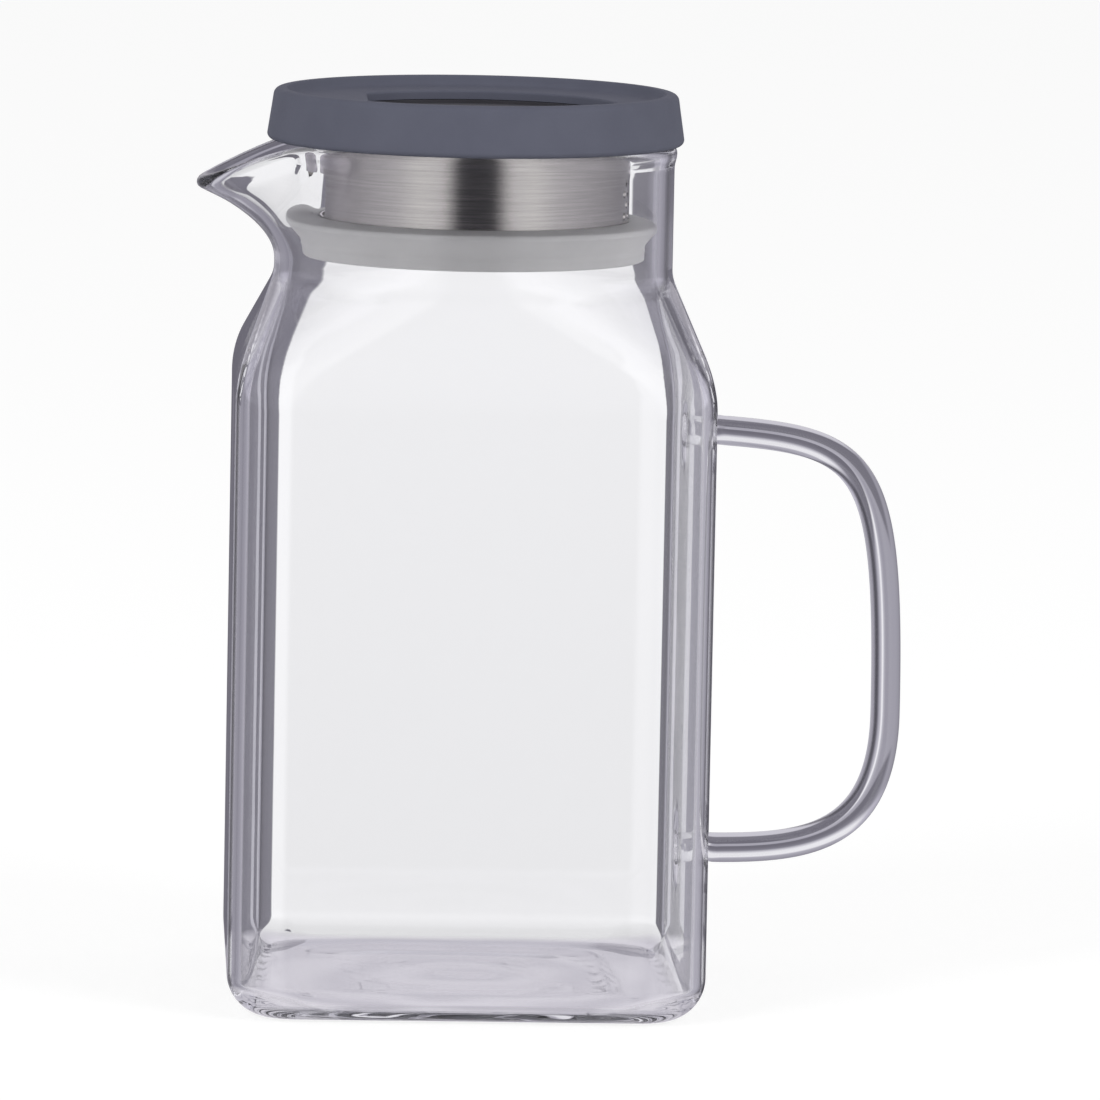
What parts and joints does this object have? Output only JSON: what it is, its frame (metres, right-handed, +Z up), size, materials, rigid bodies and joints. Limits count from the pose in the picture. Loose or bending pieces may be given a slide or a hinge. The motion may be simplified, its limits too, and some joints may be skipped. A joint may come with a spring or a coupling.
{
  "type": "glass storage jug with strainer lid",
  "caption": "Square glass storage jug with a pulled spout, a welded glass handle and a turning silicone-covered lid with a steel strainer collar.",
  "frame": {"origin": "on the jug's upright axis, in the plane of the table that it stands on", "axes": "+Z up along the neck's axis, spout towards -X, handle towards +X, the square body's sides parallel to X and Y"},
  "size_m": [0.1505, 0.1, 0.191],
  "materials": {
    "body_glass": "clear borosilicate glass, blown in a mould, fire-polished rim",
    "handle_glass": "clear solid borosilicate glass rod, flame-welded",
    "cover_silicone": "matte blue-grey silicone, moulded",
    "core_plastic": "dark grey polypropylene, fine moulded texture",
    "collar_steel": "brushed round the collar",
    "gasket_silicone": "translucent white silicone, moulded"
  },
  "bodies": {
    "jug": {"glass_body": "body_glass", "handle": "handle_glass"},
    "seal": {"gasket": "gasket_silicone"},
    "lid": {"lid_cover": "cover_silicone", "lid_core": "core_plastic", "clamp_ring": "core_plastic", "strainer_collar": "collar_steel"}
  },
  "joints": [
    {"name": "lid_lift", "type": "slide", "parent": "jug", "child": "seal", "axis": [0, 0, 1], "range_m": [0, 0.06]},
    {"name": "lid_turn", "type": "hinge", "parent": "seal", "child": "lid", "pos_m": [0, 0, 0.17], "axis": [0, 0, 1], "continuous": true}
  ]
}
